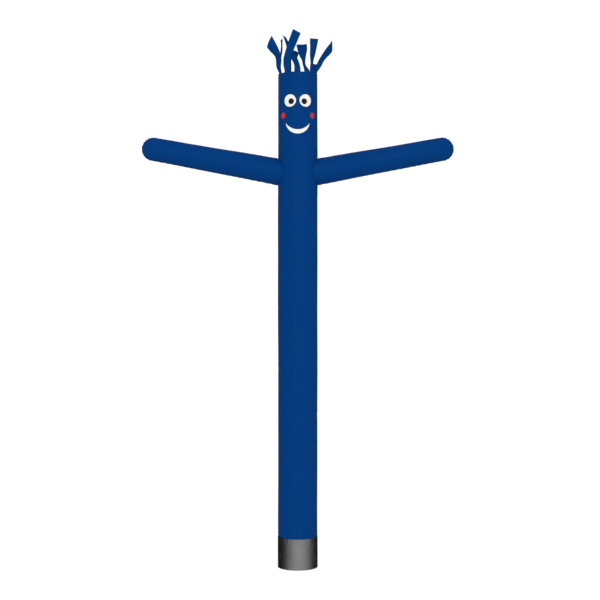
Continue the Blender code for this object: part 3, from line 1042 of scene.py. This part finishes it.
def sew_round_patch(patch):
    """A disc: its columns go round it, and its rows run from its edge in to its middle."""
    low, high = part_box(patch.node)
    radius = (high.z - low.z) / 2
    height = (high.z + low.z) / 2

    def on_flat(turn, out):
        return out * math.sin(turn), -out * math.cos(turn)

    def place(turn, out, off=0.0):
        across, up = on_flat(turn, out)
        return on_head(across, height + up, patch.around, patch.layer, off)

    sew_patch(
        patch.node,
        patch.slot,
        columns=spaced((-HALF_TURN, HALF_TURN, HALF_TURN / 24)),
        rows=[radius * step / 8 for step in range(8, -1, -1)],
        pattern=on_flat,
        place=place,
        edge_length=2 * math.pi * radius,
        edge=lambda along, out, off: place(along / radius, radius + out, off),
        flat=(2 * radius, 2 * radius),
        area=math.pi * radius**2,
    )


for patch in ROUND_PATCHES:
    sew_round_patch(patch)

# The smile is what is left of a disc when a larger disc is taken from its top.
SMILE_RADIUS = 0.135
SMILE_HEIGHT = 5.125
BITE_RADIUS = 0.155
BITE_HEIGHT = 5.195
BITE_RISE = BITE_HEIGHT - SMILE_HEIGHT
CORNER_HEIGHT = (SMILE_RADIUS**2 - BITE_RADIUS**2 + BITE_RISE**2) / (2 * BITE_RISE)
CORNER_ACROSS = math.sqrt(SMILE_RADIUS**2 - CORNER_HEIGHT**2)
LOWER_TURN = math.atan2(CORNER_ACROSS, -CORNER_HEIGHT)  # from an arc's lowest point to a corner
UPPER_TURN = math.asin(CORNER_ACROSS / BITE_RADIUS)
LOWER_EDGE = 2 * SMILE_RADIUS * LOWER_TURN  # from corner to corner
UPPER_EDGE = 2 * BITE_RADIUS * UPPER_TURN
SMILE_COLUMNS = 48


def smile_edges(across):
    """Heights of the lower and the upper edge."""
    lower = SMILE_HEIGHT - math.sqrt(max(SMILE_RADIUS**2 - across**2, 0))
    upper = BITE_HEIGHT - math.sqrt(max(BITE_RADIUS**2 - across**2, 0))
    return lower, max(upper, lower)


def smile_place(across, up):
    """across runs from corner to corner, and up from the lower edge, 0, to the upper one, 1."""
    lower, upper = smile_edges(across)
    return on_head(across, lower + (upper - lower) * up, 0, 0)


def smile_pattern(across, up):
    """The same place on the flat cut, which lies round the head."""
    lower, upper = smile_edges(across)
    return TUBE_RADIUS * math.asin(across / TUBE_RADIUS), lower + (upper - lower) * up


def smile_edge(along, out, off):
    """From the left corner along the lower arc, and back along the upper one."""
    if along < LOWER_EDGE:
        turn = along / SMILE_RADIUS - LOWER_TURN
        radius, middle = SMILE_RADIUS + out, SMILE_HEIGHT
    else:
        turn = UPPER_TURN - (along - LOWER_EDGE) / BITE_RADIUS
        radius, middle = BITE_RADIUS - out, BITE_HEIGHT
    return on_head(radius * math.sin(turn), middle - radius * math.cos(turn), 0, 0, off)


def smile_area(columns):
    """The flat cut's area, from strips between its columns."""
    area = 0.0
    for left, right in zip(columns, columns[1:]):
        lower, upper = smile_edges((left + right) / 2)
        area += (upper - lower) * (smile_pattern(right, 0)[0] - smile_pattern(left, 0)[0])
    return area


# The columns crowd towards the corners, where the smile narrows.
turns = [math.pi * (step / SMILE_COLUMNS - 0.5) for step in range(SMILE_COLUMNS + 1)]
smile_columns = [CORNER_ACROSS * math.sin(turn) for turn in turns]
sew_patch(
    "smile",
    "white_patch",
    columns=smile_columns,
    rows=[step / 6 for step in range(7)],
    pattern=smile_pattern,
    place=smile_place,
    edge_length=LOWER_EDGE + UPPER_EDGE,
    edge=smile_edge,
    flat=(2 * smile_pattern(CORNER_ACROSS, 0)[0], SMILE_RADIUS + CORNER_HEIGHT),
    area=smile_area(smile_columns),
)

# ---------------------------------------------------------------- the studio
# A plain white floor and an even white surround, two large soft lights from the front and behind,
# and the camera at chest height, level, from far enough away to take in both arms.
FLOOR_RADIUS = 120.0
FLOOR_GAP = 0.0005  # it lies this far under the sleeve
FLOOR_GLOW = 1.08  # its own light, and the share of it where the camera sees the floor
FLOOR_GLOW_SHARE = 0.86
AMBIENT = 0.83  # strength of the surround's light on the cloth
BACKDROP = 1.05  # its strength where the camera sees it
GLOSS_BACK, GLOSS_RISE = 0.01, 3.0  # in a reflection: behind, and how much more in front
FRONT = (0.13, -0.99, 0)
Sun = namedtuple("Sun", "name power tip turn")
SUNS = (Sun("front_light", 0.95, 74, 2), Sun("back_light", 0.8, 66, 196))
CAMERA_PLACE = (0.026, -14.4, 3.09)
CAMERA_LENS = 74.5

white_floor, shader, near = new_finish("white_floor", 0.9, 0.1, "Object")
shader.inputs["Base Color"].default_value = (0.82, 0.82, 0.82, 1)
seen = near.node("LightPath")
glow = near.node("Emission", (), {"Color": (1, 1, 1, 1), "Strength": FLOOR_GLOW})
blend = near.node("MixShader", (), {0: FLOOR_GLOW_SHARE * seen, 1: Signal(shader.outputs[0]), 2: glow})
surface = white_floor.node_tree.nodes["Material Output"].inputs["Surface"]
white_floor.node_tree.links.new(blend.socket, surface)
shape = bmesh.new()
bmesh.ops.create_circle(
    shape,
    cap_ends=True,
    segments=96,
    radius=FLOOR_RADIUS,
    matrix=Matrix.Translation((0, 0, -FLOOR_GAP)),
)
floor = add_piece("floor", shape, white_floor)
floor.visible_glossy = False

surround = bpy.data.worlds.new("surround")
surround.use_nodes = True
background = surround.node_tree.nodes["Background"]
direction = Signal(surround.node_tree.nodes.new("ShaderNodeTexCoord").outputs["Generated"])
facing = direction.node(
    "VectorMath", {"operation": "DOT_PRODUCT"}, {0: direction, 1: FRONT}, output=1
)
from_camera = direction.node("LightPath")
from_gloss = from_camera.other("Is Glossy Ray")
reflected = GLOSS_BACK + GLOSS_RISE * facing.between(-0.08, 1.0)
level = AMBIENT + (reflected - AMBIENT) * from_gloss
level = level + (BACKDROP - level) * from_camera
surround.node_tree.links.new(level.socket, background.inputs["Strength"])
background.inputs["Color"].default_value = (1, 1, 1, 1)
bpy.context.scene.world = surround

for sun in SUNS:
    lamp = bpy.data.lights.new(sun.name, "SUN")
    lamp.energy = sun.power
    lamp.angle = math.radians(34)
    light = bpy.data.objects.new(sun.name, lamp)
    light.rotation_euler = (math.radians(sun.tip), 0, math.radians(sun.turn))
    bpy.context.scene.collection.objects.link(light)

lens = bpy.data.cameras.new("camera")
lens.lens = CAMERA_LENS
lens.sensor_width = 36.0
lens.clip_end = 400.0
camera = bpy.data.objects.new("camera", lens)
camera.location = CAMERA_PLACE
camera.rotation_euler = (math.radians(90), 0, 0)
bpy.context.scene.collection.objects.link(camera)
bpy.context.scene.camera = camera
bpy.context.scene.view_settings.view_transform = "Standard"
